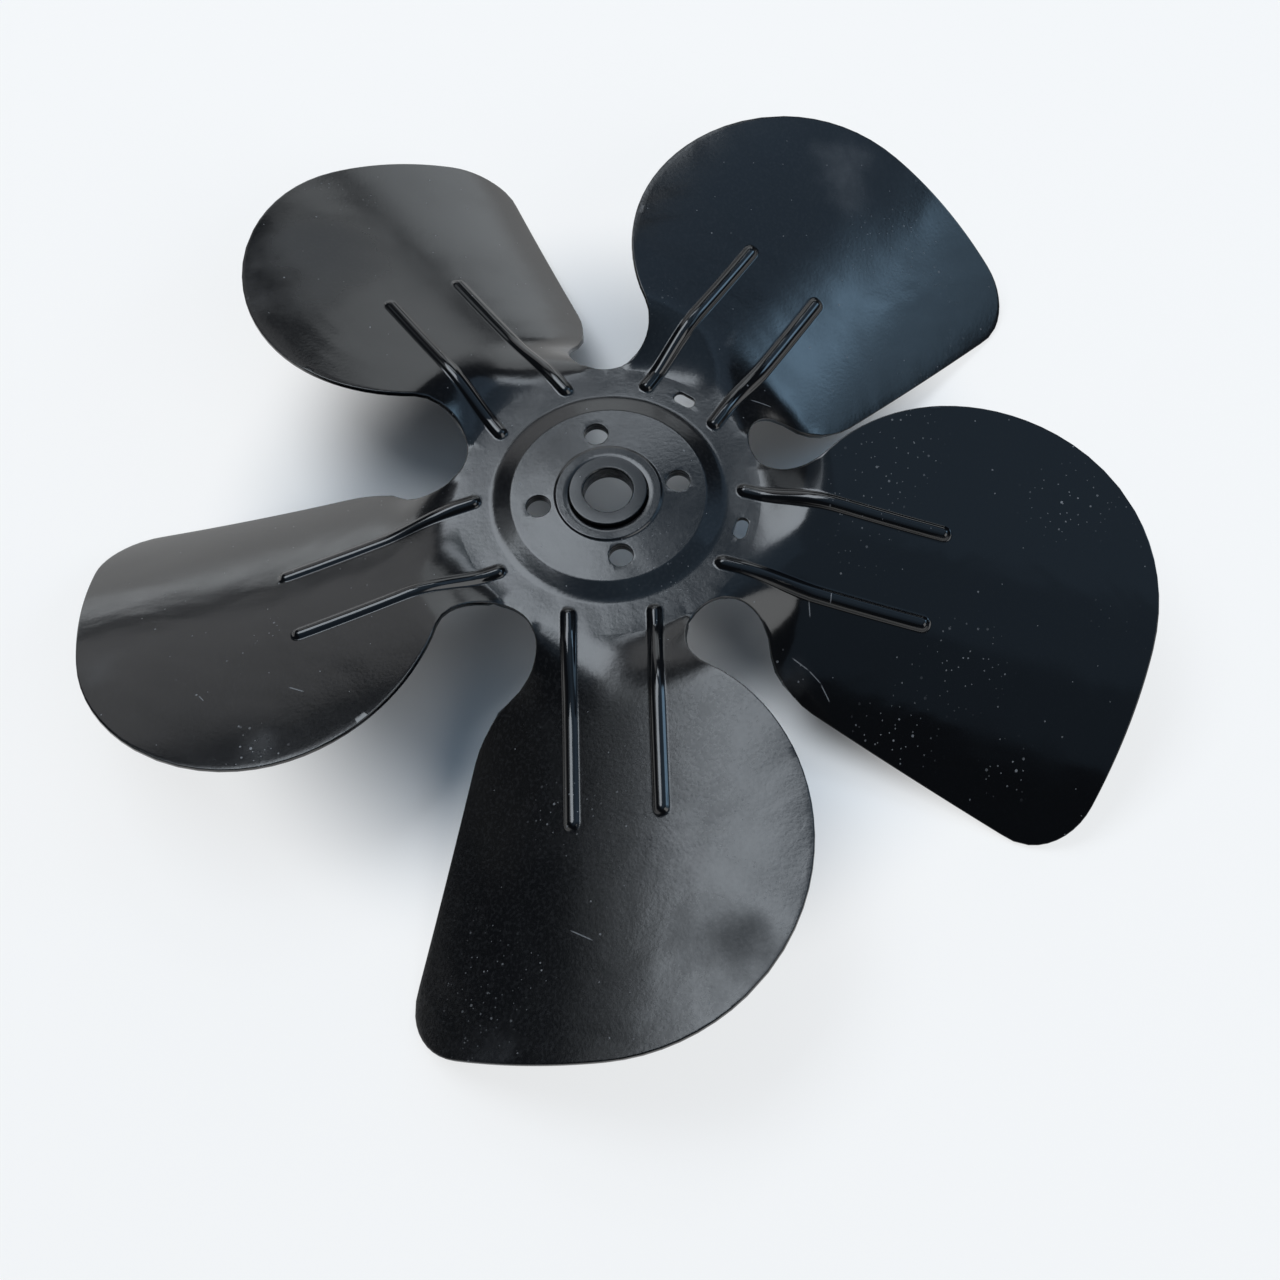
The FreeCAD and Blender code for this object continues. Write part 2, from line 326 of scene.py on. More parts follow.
# The die's form
def roundedHeight(radius, points):
    # Height of a line through the points at a radius, with its corners rounded
    for before, corner, after in zip(points, points[1:], points[2:]):
        slopeIn = math.atan2(corner[1] - before[1], corner[0] - before[0])
        slopeOut = math.atan2(after[1] - corner[1], after[0] - corner[0])
        reach = corner[2] * math.tan(abs(slopeOut - slopeIn) / 2)
        start = corner[0] - reach * math.cos(slopeIn)
        end = corner[0] + reach * math.cos(slopeOut)
        if radius < start:
            return before[1] + (radius - before[0]) * math.tan(slopeIn)
        if radius < end:
            bend = 1 if slopeOut > slopeIn else -1
            centreR = start - bend * corner[2] * math.sin(slopeIn)
            startZ = corner[1] - reach * math.sin(slopeIn)
            centreZ = startZ + bend * corner[2] * math.cos(slopeIn)
            return centreZ - bend * math.sqrt(corner[2] ** 2 - (radius - centreR) ** 2)
    return points[-1][1]


def dieHeight(s, l, p):
    radius = math.hypot(s, l)
    if radius < p["middle"][-1][0]:
        return roundedHeight(radius, p["middle"])
    side = abs(math.degrees(math.atan2(l, s)))
    web = smoothStep((side - p["webHold"]) / (p["webFull"] - p["webHold"]))
    ramp = smoothStep((radius - p["rootStart"] - p["webDelay"] * web) / p["rootRun"])
    out = s - p["midS"]
    across = p["midHeight"] + p["pitch"] * l + p["camber"] * l ** 2 + p["camberChange"] * l ** 3
    along = out * (p["cone"] + p["twist"] * l + p["camberFade"] * l ** 2) + p["dish"] * out ** 2
    return p["rimHeight"] + ramp * (across + along)


def beadDistance(s, l, p):
    # How far a point is from the nearest bead's centreline, in the plan
    along = max(p["beadStart"] - s, s - p["beadEnd"], 0.0)
    return math.hypot(along, abs(abs(l) - p["beadOffset"]))


def beadHeight(s, l, p):
    # Front bump of the bead nearest to a point: an arch with a small round foot
    distance = beadDistance(s, l, p)
    arch = p["beadArch"]
    drop = arch - p["beadRise"]
    foot = p["beadFoot"]
    footEnd = math.sqrt((arch + foot) ** 2 - (drop + foot) ** 2)
    meet = footEnd * arch / (arch + foot)
    if distance < meet:
        return math.sqrt(arch ** 2 - distance ** 2) - drop
    if distance < footEnd:
        return foot - math.sqrt(foot ** 2 - (footEnd - distance) ** 2)
    return 0.0


def grooveHeight(s, l, p):
    # Depth of the groove behind the bead nearest to a point
    width = p["groove"] + p["grooveFlare"]
    return p["beadRise"] * (1 - smoothStep(beadDistance(s, l, p) / width))


def diePoint(s, l, depth, p):
    small = 0.02
    slopeS = (dieHeight(s + small, l, p) - dieHeight(s - small, l, p)) / (2 * small)
    slopeL = (dieHeight(s, l + small, p) - dieHeight(s, l - small, p)) / (2 * small)
    normal = Vector((-slopeS, -slopeL, 1)).normalized()
    front = depth + p["thickness"] / 2
    lift = front * beadHeight(s, l, p) + (1 - front) * grooveHeight(s, l, p)
    return Vector((s, l, dieHeight(s, l, p))) + normal * (depth - p["thickness"] / 2 + lift)


def pressSheet(bm, p):
    pitch = 360 / p["blades"]
    for vert in bm.verts:
        around = math.degrees(math.atan2(vert.co.y, vert.co.x)) - p["firstBlade"]
        turn = math.radians(p["firstBlade"] + pitch * round(around / pitch))
        local = Matrix.Rotation(-turn, 3, "Z") @ vert.co
        vert.co = Matrix.Rotation(turn, 3, "Z") @ diePoint(local.x, local.y, local.z, p)


def meshPiece(name, bm):
    bmesh.ops.scale(bm, verts=bm.verts, vec=(toMetres,) * 3)
    mesh = bpy.data.meshes.new(name)
    bm.to_mesh(mesh)
    bm.free()
    piece = bpy.data.objects.new(name, mesh)
    bpy.context.scene.collection.objects.link(piece)
    return piece


def holeCutter(mouth, top, bottom, lip, p):
    # Round tool: the mouth narrows over a rounded lip at the front and the rear face
    bm = bmesh.new()
    reach = 1                  # how far the tool stands out of both faces
    profile = [(mouth, top + reach), (mouth, top)]
    steps = p["lipSteps"]
    turns = [math.radians(90 * step / steps) for step in range(1, steps + 1)]
    profile += [(mouth - lip * math.sin(turn), top - lip * (1 - math.cos(turn))) for turn in turns]
    profile += [(r, top + bottom - z) for r, z in reversed(profile)]
    verts = [bm.verts.new((r, 0, z)) for r, z in profile]
    edges = [bm.edges.new(pair) for pair in zip(verts, verts[1:])]
    bmesh.ops.spin(bm, geom=verts + edges, axis=(0, 0, 1), cent=(0, 0, 0), steps=p["holeSteps"],
                   angle=math.tau, use_merge=True)
    bmesh.ops.remove_doubles(bm, verts=bm.verts, dist=weldDistance)
    bmesh.ops.holes_fill(bm, edges=[edge for edge in bm.edges if edge.is_boundary], sides=0)
    bmesh.ops.recalc_face_normals(bm, faces=bm.faces)
    return bm


def screwCutters(top, bottom, p):
    tools = []
    for index in range(p["screws"]):
        bm = holeCutter(p["screwHole"] + p["holeLip"], top, bottom, p["holeLip"], p)
        place = polar(p["screwCircle"], 360 / p["screws"] * index).to_3d()
        bmesh.ops.translate(bm, verts=bm.verts, vec=place)
        tools.append(bm)
    return tools


def slotCutter(blade, p):
    # A round tool cut in two, with its halves pulled apart to the slot's length
    bm = holeCutter(p["slotWidth"] / 2, p["rimHeight"], p["rimHeight"] - p["thickness"],
                    p["slotLip"], p)
    half = (p["slotLength"] - p["slotWidth"]) / 2
    bmesh.ops.bisect_plane(bm, geom=everything(bm), plane_co=(0, 0, 0), plane_no=(0, 1, 0))
    for vert in bm.verts:
        if abs(vert.co.y) > weldDistance:
            vert.co.y += math.copysign(half, vert.co.y)
    bmesh.ops.translate(bm, verts=bm.verts, vec=(p["slotCentre"], 0, 0))
    turn = math.radians(p["firstBlade"] + 360 / p["blades"] * blade)
    bmesh.ops.rotate(bm, verts=bm.verts, matrix=Matrix.Rotation(turn, 3, "Z"))
    return bm


def cutOut(piece, tools):
    for bm in tools:
        tool = meshPiece("tool", bm)
        cut = piece.modifiers.new("hole", "BOOLEAN")
        cut.object = tool
        cut.solver = "EXACT"
        bpy.context.view_layer.objects.active = piece
        bpy.ops.object.modifier_apply(modifier=cut.name)
        bpy.data.objects.remove(tool)


def smoothPiece(piece, sharpDeg):
    piece.data.shade_smooth()
    piece.data.set_sharp_from_angle(angle=math.radians(sharpDeg))
    weighted = piece.modifiers.new("normals", "WEIGHTED_NORMAL")
    weighted.keep_sharp = True


def makeBladeSheet(p):
    bm = cutBlank(p)
    pressSheet(bm, p)
    piece = meshPiece(p["name"], bm)
    plateauTop = p["middle"][3][1]
    tools = screwCutters(plateauTop, plateauTop - p["thickness"], p)
    cutOut(piece, tools + [slotCutter(blade, p) for blade in p["slottedBlades"]])
    smoothPiece(piece, p["sharpDeg"])
    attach(piece, "root")
    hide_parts("blade_sheet")
    print("blade sheet pressed", len(piece.data.polygons), "faces")
    return piece


def makeHubPlate(p):
    bm = bmesh.new()
    profile = [(p["bore"], 0), (p["radius"], 0), (p["radius"], p["thickness"]),
               (p["collar"], p["thickness"]), (p["collar"], p["collarTop"]),
               (p["bore"], p["collarTop"])]
    verts = [bm.verts.new((radius, 0, height)) for radius, height in profile]
    edges = [bm.edges.new((verts[index - 1], verts[index])) for index in range(len(verts))]
    bmesh.ops.spin(bm, geom=verts + edges, axis=(0, 0, 1), cent=(0, 0, 0), steps=p["spinSteps"],
                   angle=math.tau, use_merge=True)
    bmesh.ops.remove_doubles(bm, verts=bm.verts, dist=weldDistance)
    bmesh.ops.recalc_face_normals(bm, faces=bm.faces)
    rings = [edge for edge in bm.edges if edge.calc_face_angle(0) > p["cornerTurn"]]
    nearTop = p["collarTop"] - 0.01
    nearBore = p["bore"] + 0.1
    lip = [edge for edge in rings
           if edge.verts[0].co.z > nearTop and edge.verts[0].co.xy.length < nearBore]
    others = [edge for edge in rings if edge not in lip]
    bmesh.ops.bevel(bm, geom=lip, offset=p["boreLip"], offset_type="OFFSET",
                    segments=p["lipSteps"], profile=0.5, affect="EDGES", material=-1)
    bmesh.ops.bevel(bm, geom=[edge for edge in others if edge.is_valid], offset=p["edgeRound"],
                    offset_type="OFFSET", segments=p["edgeSteps"], profile=0.5, affect="EDGES",
                    material=-1)
    piece = meshPiece(p["name"], bm)
    cutOut(piece, screwCutters(p["thickness"], 0, sheet))
    smoothPiece(piece, p["sharpDeg"])
    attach(piece, "root")
    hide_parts("hub_plate")
    print("hub plate turned", len(piece.data.polygons), "faces")
    return piece


# Materials
def addNode(tree, kind, inputs=(), **settings):
    # New node; an input is given a value, or a socket that is linked to it
    node = tree.nodes.new("ShaderNode" + kind)
    for name, value in settings.items():
        setattr(node, name, value)
    for key, value in dict(inputs).items():
        if isinstance(value, bpy.types.NodeSocket):
            tree.links.new(value, node.inputs[key])
        else:
            node.inputs[key].default_value = value
    return node


def mathNode(tree, operation, first, second=0.0, third=0.0):
    return addNode(tree, "Math", {0: first, 1: second, 2: third}, operation=operation).outputs[0]


def remap(tree, value, low, high, start=0.0, end=1.0):
    inputs = {"Value": value, "From Min": low, "From Max": high, "To Min": start, "To Max": end}
    return addNode(tree, "MapRange", inputs, interpolation_type="SMOOTHSTEP").outputs["Result"]


def noise(tree, place, scale, detail=2.0, distortion=0.0):
    inputs = {"Vector": place, "Scale": scale, "Detail": detail, "Distortion": distortion}
    return addNode(tree, "TexNoise", inputs).outputs["Fac"]


def specks(tree, place, scale, smallest, largest):
    # Round specks of mixed sizes, one in some cells of a random pattern
    cells = addNode(tree, "TexVoronoi", {"Vector": place, "Scale": scale}, voronoi_dimensions="2D")
    chance = addNode(tree, "SeparateColor", {"Color": cells.outputs["Color"]})
    size = mathNode(tree, "POWER", chance.outputs["Red"], 6.0)
    size = mathNode(tree, "MULTIPLY_ADD", size, largest - smallest, smallest)
    gap = mathNode(tree, "SUBTRACT", cells.outputs["Distance"], size)
    speck = remap(tree, gap, 0.0, smallest, 1.0, 0.0)
    chosen = mathNode(tree, "GREATER_THAN", chance.outputs["Green"], 0.45)
    return mathNode(tree, "MULTIPLY", speck, chosen)


def flatten(tree, place):
    # The place without its height
    flat = addNode(tree, "VectorMath", {0: place, 1: (1, 1, 0)}, operation="MULTIPLY")
    return flat.outputs["Vector"]


def lengthOf(tree, vector):
    return addNode(tree, "VectorMath", {0: vector}, operation="LENGTH").outputs["Value"]


def patch(tree, place, centre, size):
    # Soft round spot about a point in the plan, in millimetres
    inputs = {"Vector": place, "Location": (-centre[0] * toMetres, -centre[1] * toMetres, 0)}
    centred = addNode(tree, "Mapping", inputs).outputs["Vector"]
    far = lengthOf(tree, flatten(tree, centred))
    return remap(tree, far, size * 0.1 * toMetres, size * 1.1 * toMetres, 1.0, 0.0)


def scratch(tree, place, centre, direction, length, width):
    # Fine straight line in the plan: turned onto one axis, then kept near it
    inputs = {"Vector": place, "Rotation": (0, 0, math.radians(direction)),
              "Location": (centre[0] * toMetres, centre[1] * toMetres, 0)}
    turned = addNode(tree, "Mapping", inputs, vector_type="TEXTURE").outputs["Vector"]
    parts = addNode(tree, "SeparateXYZ", {"Vector": turned})
    along = mathNode(tree, "ABSOLUTE", parts.outputs["X"])
    across = mathNode(tree, "ABSOLUTE", parts.outputs["Y"])
    shortEnd = remap(tree, along, length * 0.3 * toMetres, length * 0.5 * toMetres, 1.0, 0.0)
    line = remap(tree, across, width * 0.3 * toMetres, width * toMetres, 1.0, 0.0)
    return mathNode(tree, "MULTIPLY", shortEnd, line)


# Marks are places in the plan, in millimetres
enamelLook = {
    "name": "bladeEnamel",
    "colour": (0.0016, 0.0019, 0.0026, 1),
    "dustColour": (0.34, 0.34, 0.35, 1),
    "roughSmooth": 0.10,
    "roughSatin": 0.28,
    "crown": 0.045,            # slope of the plateau's slight crown
    "crownFrom": 9.5,
    "crownTo": 18.0,
    # centre, radius, strength of lighter patches: mostly dusty haze, and the largest, on the first
    # blade's outer part, a painted reflection
    "hazeAndReflection": [((60.6, 64.3), 9.0, 0.12), ((37.2, 39.1), 2.0, 0.08), ((29.2, 31.9), 1.8, 0.08),
             ((-37.7, -89.4), 4.5, 0.05), ((26.0, -36.1), 4.5, 0.06),
             ((-94.0, -11.3), 6.0, 0.05), ((-67.4, -39.5), 6.5, 0.05), ((7.7, 9.6), 2.4, 0.04)],
    # centre, radius of spots where the finish is duller
    "dull": [((5.6, -87.0), 10.0), ((-45.1, 63.8), 16.0)],
    "dullRough": 0.27,
    # centre, radius of clusters of dust
    "dust": [((-35.2, -75.7), 6.0), ((-26.9, -81.2), 4.0), ((59.9, -59.7), 5.5),
             ((-64.3, -14.5), 4.0), ((42.0, -50.0), 9.0), ((56.0, -42.0), 9.0),
             ((26.0, -36.1), 4.5), ((-67.4, -39.5), 7.0), ((-18.0, -56.0), 8.0),
             ((80.0, -20.0), 9.0)],
    "dustShade": 0.5,          # how strongly dust and scratches cover the enamel
    "dustRough": 0.4,
    # centre, direction in degrees, length
    "scratches": [((-18.6, -77.4), -40, 4.9), ((28.1, -35.4), -45, 3.9),
                  ((30.2, -37.9), -55, 3.2), ((31.5, -40.7), -72, 3.4),
                  ((31.4, -27.5), -98, 2.8), ((35.4, -26.9), -108, 1.9),
                  ((-59.4, -29.0), -32, 3.4), ((-76.1, -26.5), -56, 1.6),
                  ((32.3, 15.9), -9, 4.5)],
    "scratchWidth": 0.13,
    # single larger specks
    "specks": [(53.6, -36.2), (56.9, -41.4), (62.5, -45.4), (44.9, -38.3), (35.8, -46.6),
               (38.5, -50.2), (42.2, -54.1), (58.4, -58.7), (69.8, -57.3), (67.5, -54.2),
               (-68.7, -18.4), (-71.6, -19.4)],
    "speckSize": 0.18,
    "fleck": 0.022,            # strength of the satin finish's light flecks
    # scales of the random patterns, in turns to the metre
    "grainScale": 1500,
    "mottleScale": 60,
    "waveScale": 17,
    "wobbleScale": 70,
    "driftScale": 30,
    "wornScale": 700,
    "fleckScale": 1700,
    "lumpScale": 800,
    "fineScale": 620,
    "coarseScale": 130,
    "coarseShade": 0.7,
    "edgeRough": 0.12,         # the cut edges are duller by this, and a little worn
    "edgeWear": 0.06,
    "speckleRough": 0.12,
    "wobble": 0.02,            # how far the lighter haze-and-reflection spots and dull spots stray from round, in metres
    "waveHeight": 0.0005,      # in metres, like the grain's
    "grainHeight": 0.000025,
    "grainSmooth": 0.05,       # share of the grain on smooth and on satin enamel
    "grainSatin": 0.9,
    "lumps": 10.0,             # roughness of the bore's inside
    "boreBlend": 0.15,
}


def enamelRoughness(tree, look, loose, parts):
    # Smooth enamel, satin where the attribute says, with duller spots and cut edges
    step = look["roughSatin"] - look["roughSmooth"]
    rough = mathNode(tree, "MULTIPLY_ADD", parts["satin"], step, look["roughSmooth"])
    rough = mathNode(tree, "ADD", rough, remap(tree, parts["mottle"], 0.42, 0.75, -0.01, 0.05))
    uneven = mathNode(tree, "SUBTRACT", parts["grain"], 0.5)
    speckle = mathNode(tree, "MULTIPLY", uneven, parts["satin"])
    rough = mathNode(tree, "MULTIPLY_ADD", speckle, look["speckleRough"], rough)
    for centre, size in look["dull"]:
        spot = patch(tree, loose, centre, size)
        rough = mathNode(tree, "MULTIPLY_ADD", spot, look["dullRough"], rough)
    return mathNode(tree, "MULTIPLY_ADD", parts["edge"], look["edgeRough"], rough)


def enamelDust(tree, look, place, worn):
    # Fine specks in drifts and clusters, a few larger ones all over, and scratches
    fine = specks(tree, place, look["fineScale"], 0.04, 0.13)
    coarse = specks(tree, place, look["coarseScale"], 0.008, 0.022)
    where = remap(tree, noise(tree, place, look["driftScale"], 3), 0.56, 0.75, 0.0, 0.6)
    for centre, size in look["dust"]:
        where = mathNode(tree, "MAXIMUM", where, patch(tree, place, centre, size))
    dust = mathNode(tree, "MULTIPLY", fine, where)
    coarse = mathNode(tree, "MULTIPLY", coarse, look["coarseShade"])
    dust = mathNode(tree, "MAXIMUM", dust, coarse)
    for centre in look["specks"]:
        dust = mathNode(tree, "MAXIMUM", dust, patch(tree, place, centre, look["speckSize"]))
    broken = mathNode(tree, "ADD", worn, 0.3)
    for centre, turn, length in look["scratches"]:
        line = scratch(tree, place, centre, turn, length, look["scratchWidth"])
        dust = mathNode(tree, "MAXIMUM", dust, mathNode(tree, "MULTIPLY", line, broken))
    return dust


def enamelColour(tree, look, place, loose, parts, dust, worn):
    amount = mathNode(tree, "MULTIPLY", dust, look["dustShade"])
    # Lighter patches: dusty haze, and a painted reflection where a patch stands for light caught
    # on the sheet
    for centre, size, strength in look["hazeAndReflection"]:
        patchy = remap(tree, parts["mottle"], 0.35, 0.7)
        hazeAndReflectionSpot = mathNode(tree, "MULTIPLY", patch(tree, loose, centre, size), patchy)
        amount = mathNode(tree, "MULTIPLY_ADD", hazeAndReflectionSpot, strength, amount)
    bare = mathNode(tree, "MULTIPLY", parts["edge"], worn)
    amount = mathNode(tree, "MULTIPLY_ADD", bare, look["edgeWear"], amount)
    flecks = remap(tree, noise(tree, place, look["fleckScale"], 0), 0.5, 0.7)
    flecks = mathNode(tree, "MULTIPLY", flecks, parts["satin"])
    amount = mathNode(tree, "MULTIPLY_ADD", flecks, look["fleck"], amount)
    inputs = {"Factor": amount, "A": look["colour"], "B": look["dustColour"]}
    return addNode(tree, "Mix", inputs, data_type="RGBA").outputs["Result"]


def enamelBump(tree, look, place, parts):
    # Long shallow waves in the sheet, the slight crown in the middle, and the enamel's grain
    radius = lengthOf(tree, flatten(tree, place))
    fall = (look["crownTo"] - look["crownFrom"]) * toMetres * look["crown"]
    crown = addNode(tree, "MapRange", {
        "Value": radius, "From Min": look["crownFrom"] * toMetres,
        "From Max": look["crownTo"] * toMetres, "To Min": fall, "To Max": 0.0}).outputs["Result"]
    waves = noise(tree, place, look["waveScale"], 3, 1.2)
    shallow = mathNode(tree, "MULTIPLY_ADD", waves, look["waveHeight"], crown)
    bent = addNode(tree, "Bump", {"Strength": 1.0, "Distance": 1.0, "Height": shallow})
    depth = mathNode(tree, "MULTIPLY_ADD", parts["satin"], look["grainSatin"], look["grainSmooth"])
    grainy = mathNode(tree, "MULTIPLY", parts["grain"], depth)
    if look.get("bore"):
        bore = look["bore"] * toMetres
        inBore = remap(tree, radius, bore, (look["bore"] + look["boreBlend"]) * toMetres, 1.0, 0.0)
        lumpy = mathNode(tree, "MULTIPLY", inBore, noise(tree, place, look["lumpScale"], 4))
        grainy = mathNode(tree, "MULTIPLY_ADD", lumpy, look["lumps"], grainy)
    inputs = {"Strength": 1.0, "Distance": look["grainHeight"], "Height": grainy,
              "Normal": bent.outputs["Normal"]}
    return addNode(tree, "Bump", inputs).outputs["Normal"]


def enamel(look):
    material = bpy.data.materials.new(look["name"])
    material.use_nodes = True
    tree = material.node_tree
    shader = tree.nodes["Principled BSDF"]
    place = addNode(tree, "TexCoord").outputs["Object"]
    parts = {
        "satin": addNode(tree, "Attribute", attribute_name="satin").outputs["Fac"],
        "edge": addNode(tree, "Attribute", attribute_name="edge").outputs["Fac"],
        "grain": noise(tree, place, look["grainScale"], 2),
        "mottle": noise(tree, place, look["mottleScale"], 5, 0.4),
    }
    worn = noise(tree, place, look["wornScale"], 2)

    # a place that strays a little, so that spots aren't round
    inputs = {"Vector": place, "Scale": look["wobbleScale"], "Detail": 3}
    stray = addNode(tree, "TexNoise", inputs).outputs["Color"]
    centred = addNode(tree, "VectorMath", {0: stray, 1: (0.5,) * 3}, operation="SUBTRACT")
    inputs = {0: centred.outputs["Vector"], 1: (look["wobble"],) * 3, 2: place}
    loose = addNode(tree, "VectorMath", inputs, operation="MULTIPLY_ADD").outputs["Vector"]

    rough = enamelRoughness(tree, look, loose, parts)
    dust = enamelDust(tree, look, place, worn)
    colour = enamelColour(tree, look, place, loose, parts, dust, worn)
    dusty = mathNode(tree, "MULTIPLY_ADD", dust, look["dustRough"], rough)
    tree.links.new(colour, shader.inputs["Base Color"])
    tree.links.new(dusty, shader.inputs["Roughness"])
    tree.links.new(enamelBump(tree, look, place, parts), shader.inputs["Normal"])
    print("enamel made", look["name"])
    return material


# Stage: camera, floor and lamps
camera = {
    "focal": 1807.06, "centreX": 618.53, "centreY": 444.12, "frameSize": 1280,
    "turn": (2.5833, -0.2499, 0.0059), "shift": (-1.7862, 10.1038, 332.6411),
    "sensor": 36,
    "clipStart": 10,
}


def makeCamera(p):
    data = bpy.data.cameras.new("camera")
    data.sensor_width = p["sensor"]
    data.lens = p["focal"] / p["frameSize"] * data.sensor_width
    data.shift_x = (p["frameSize"] / 2 - p["centreX"]) / p["frameSize"]
    data.shift_y = (p["centreY"] - p["frameSize"] / 2) / p["frameSize"]
    data.clip_start = p["clipStart"] * toMetres
    turn = Vector(p["turn"])
    view = Matrix.Rotation(turn.length, 3, turn.normalized())
    place = view.transposed() @ -Vector(p["shift"])
    piece = bpy.data.objects.new("camera", data)
    flip = Matrix(((1, 0, 0), (0, -1, 0), (0, 0, -1)))
    piece.matrix_world = Matrix.Translation(place * toMetres) @ (view.transposed() @ flip).to_4x4()
    bpy.context.scene.collection.objects.link(piece)
    bpy.context.scene.camera = piece


floorLook = {
    "size": 3,                 # half its width, in metres
    "colour": (0.82, 0.81, 0.80, 1),
    "roughness": 0.8,
    "specular": 0.1,
    "white": (0.985, 0.995, 1.0, 1),
    "whiteShare": 0.75,        # share of plain white that the camera sees away from the part
    "shadeFrom": 0.05,         # nearer to the hub the floor keeps all its shade, in metres
    "shadeTo": 0.086,
    "mirrorShare": 1.0,        # share of plain white in the floor's mirror image
}


def makeFloor(look, height):
    bm = bmesh.new()
    bmesh.ops.create_grid(bm, x_segments=1, y_segments=1, size=look["size"])
    bmesh.ops.translate(bm, verts=bm.verts, vec=(0, 0, height))
    mesh = bpy.data.meshes.new("floor")
    bm.to_mesh(mesh)
    bm.free()
    floor = bpy.data.objects.new("floor", mesh)
    bpy.context.scene.collection.objects.link(floor)
    material = bpy.data.materials.new("floor")
    material.use_nodes = True
    tree = material.node_tree
    shader = tree.nodes["Principled BSDF"]
    shader.inputs["Base Color"].default_value = look["colour"]
    shader.inputs["Roughness"].default_value = look["roughness"]
    shader.inputs["Specular IOR Level"].default_value = look["specular"]
    rays = addNode(tree, "LightPath").outputs
    mirrored = mathNode(tree, "MAXIMUM", rays["Is Glossy Ray"], rays["Is Transmission Ray"])
    mirrored = mathNode(tree, "MULTIPLY", mirrored, look["mirrorShare"])
    seen = mathNode(tree, "MULTIPLY", rays["Is Camera Ray"], look["whiteShare"])
    place = addNode(tree, "TexCoord").outputs["Object"]
    radius = lengthOf(tree, flatten(tree, place))
    outside = remap(tree, radius, look["shadeFrom"], look["shadeTo"])
    share = mathNode(tree, "MULTIPLY", mathNode(tree, "MAXIMUM", seen, mirrored), outside)
    white = addNode(tree, "Emission", {"Color": look["white"], "Strength": 1.0})
    inputs = {0: share, 1: shader.outputs["BSDF"], 2: white.outputs["Emission"]}
    mixed = addNode(tree, "MixShader", inputs)
    tree.links.new(mixed.outputs["Shader"], tree.nodes["Material Output"].inputs["Surface"])
    mesh.materials.append(material)
    floor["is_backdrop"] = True


def makeLamp(name, place, target, size, power, colour):
    data = bpy.data.lights.new(name, "AREA")
    data.shape = "RECTANGLE"
    data.size = size[0]
    data.size_y = size[1]
    data.energy = power
    data.color = colour
    lamp = bpy.data.objects.new(name, data)
    lamp.location = place
    lamp.rotation_euler = (Vector(target) - Vector(place)).to_track_quat("-Z", "Y").to_euler()
    bpy.context.scene.collection.objects.link(lamp)


def direction(azimuth, elevation, distance):
    flat = polar(distance * math.cos(math.radians(elevation)), azimuth)
    return Vector((flat.x, flat.y, distance * math.sin(math.radians(elevation))))


lamps = {
    # direction and height above the floor in degrees, distance, size, brightness, colour
    "window": (127, 64.5, 1.4, (0.84, 0.6), 6.3, (0.86, 0.93, 1)),
    "windowSill": (148, 44, 1.4, (0.36, 0.36), 0.9, (0.88, 0.95, 1)),
    "highPanel": (76, 51, 1.4, (0.48, 0.18), 5.0, (0.84, 0.92, 1)),
    "wallRight": (60.5, 9, 1.6, (0.32, 1.0), 1.75, (0.9, 0.96, 1)),
    "wallMiddle": (80.5, 13, 1.6, (0.63, 1.25), 1.55, (0.92, 0.97, 1)),
    "wallLeft": (104, 27, 1.6, (0.6, 0.88), 0.95, (0.97, 0.98, 1)),
    "skirting": (106, 1, 1.6, (0.9, 0.26), 2.4, (0.92, 0.97, 1)),
    "sideWindow": (-2, 33, 1.4, (0.8, 0.5), 1.5, (0.45, 0.72, 1)),
    "sideLow": (7.5, 32, 1.3, (0.26, 0.34), 3.2, (0.45, 0.72, 1)),
    "upperSide": (30, 51, 1.4, (0.86, 0.42), 0.62, (0.46, 0.7, 1)),
    "frontFill": (-48, 35, 1.4, (0.9, 0.8), 2.4, (0.97, 0.99, 1)),
    "ceiling": (-60, 88, 1.6, (2.3, 2.3), 0.2, (0.46, 0.71, 1)),
    "ceilingMiddle": (30, 84, 1.6, (1.6, 1.6), 0.14, (0.46, 0.71, 1)),
    "ceilingCentre": (30, 80, 1.6, (0.9, 0.9), 0.15, (0.46, 0.71, 1)),
}


def makeLamps():
    for name, (azimuth, elevation, distance, size, brightness, colour) in lamps.items():
        power = brightness * math.pi * size[0] * size[1]
        makeLamp(name, direction(azimuth, elevation, distance), (0, 0, 0), size, power, colour)


worldLook = {"colour": (0.8, 0.88, 1, 1), "strength": 0.06}


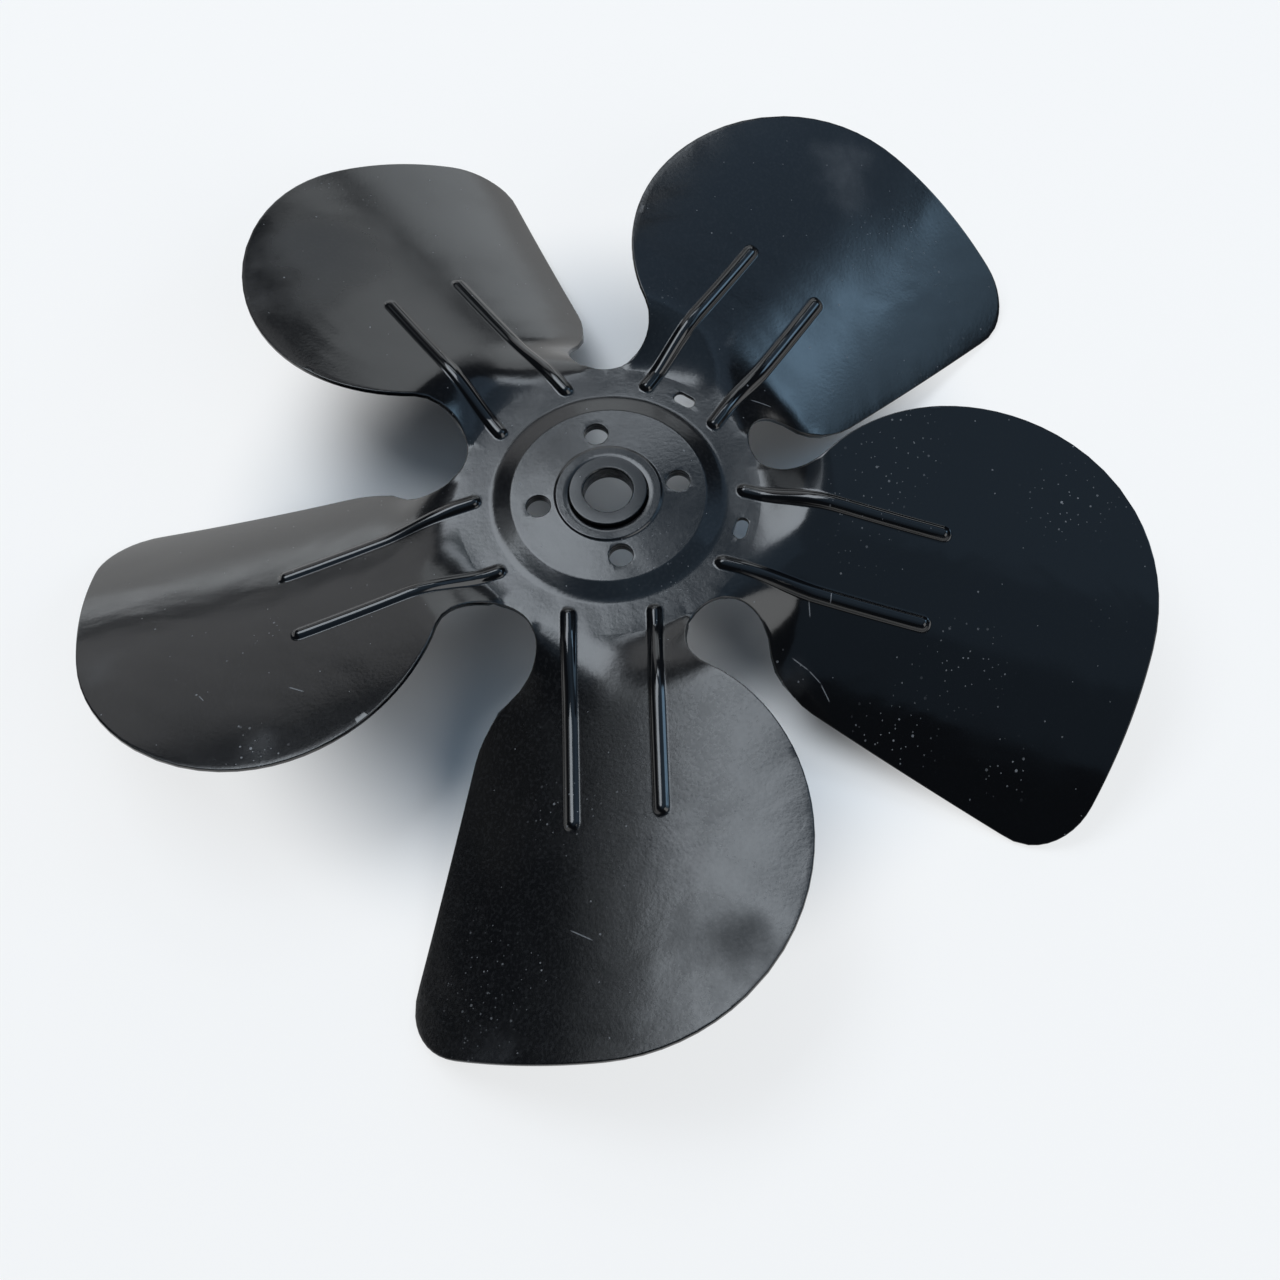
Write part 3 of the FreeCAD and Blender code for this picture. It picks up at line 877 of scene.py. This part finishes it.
def makeWorld(look):
    world = bpy.data.worlds.new("world")
    bpy.context.scene.world = world
    world.use_nodes = True
    background = world.node_tree.nodes["Background"]
    background.inputs["Color"].default_value = look["colour"]
    background.inputs["Strength"].default_value = look["strength"]


# Finish of the front: how satin the middle and each blade are
finish = {
    "middle": 0.5,
    "blade": {0: 0.4, 1: 0.3, 2: 0.4, 3: 0.8, 4: 0.05},
    "bladeFrom": 27,           # radius where the middle's finish starts to turn into the blade's
    "bladeRun": 12,
    "beadMargin": 0.1,
    "edgeArea": 0.3,           # faces of the cut edge that show wear: smaller than this
    "edgeSlope": 0.5,          # and steeper than this
}


def markFinish(piece, p, marks):
    # Satin middle and blades, glossy beads, and the sheet's cut edges
    satin = piece.data.attributes.new("satin", "FLOAT", "POINT")
    edge = piece.data.attributes.new("edge", "FLOAT", "POINT")
    pitch = 360 / p["blades"]
    for index, vert in enumerate(piece.data.vertices):
        place = vert.co / toMetres
        around = math.degrees(math.atan2(place.y, place.x)) - p["firstBlade"]
        turn = round(around / pitch)
        angle = math.radians(p["firstBlade"] + pitch * turn)
        local = Matrix.Rotation(-angle, 3, "Z") @ place
        out = smoothStep((place.xy.length - marks["bladeFrom"]) / marks["bladeRun"])
        value = marks["middle"] * (1 - out) + marks["blade"][turn % p["blades"]] * out
        onBead = beadDistance(local.x, local.y, p) < p["beadArch"] + marks["beadMargin"]
        satin.data[index].value = 0.0 if onBead else value
    for face in piece.data.polygons:
        outside = face.center.xy.length > marks["bladeFrom"] * toMetres
        small = face.area < marks["edgeArea"] * toMetres ** 2
        if outside and small and abs(face.normal.z) < marks["edgeSlope"]:
            for index in face.vertices:
                edge.data[index].value = 1.0


blades = makeBladeSheet(sheet)
plate = makeHubPlate(hub)
markFinish(blades, sheet, finish)
blades.data.materials.clear()
blades.data.materials.append(enamel(enamelLook))
plate.data.materials.clear()
plate.data.materials.append(enamel(dict(enamelLook, name="hubEnamel", roughSmooth=0.2, bore=4.7)))
makeCamera(camera)
makeFloor(floorLook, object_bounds()[0].z)
makeLamps()
makeWorld(worldLook)
print("camera, floor and lamps placed")
bpy.context.scene.view_settings.view_transform = "Standard"
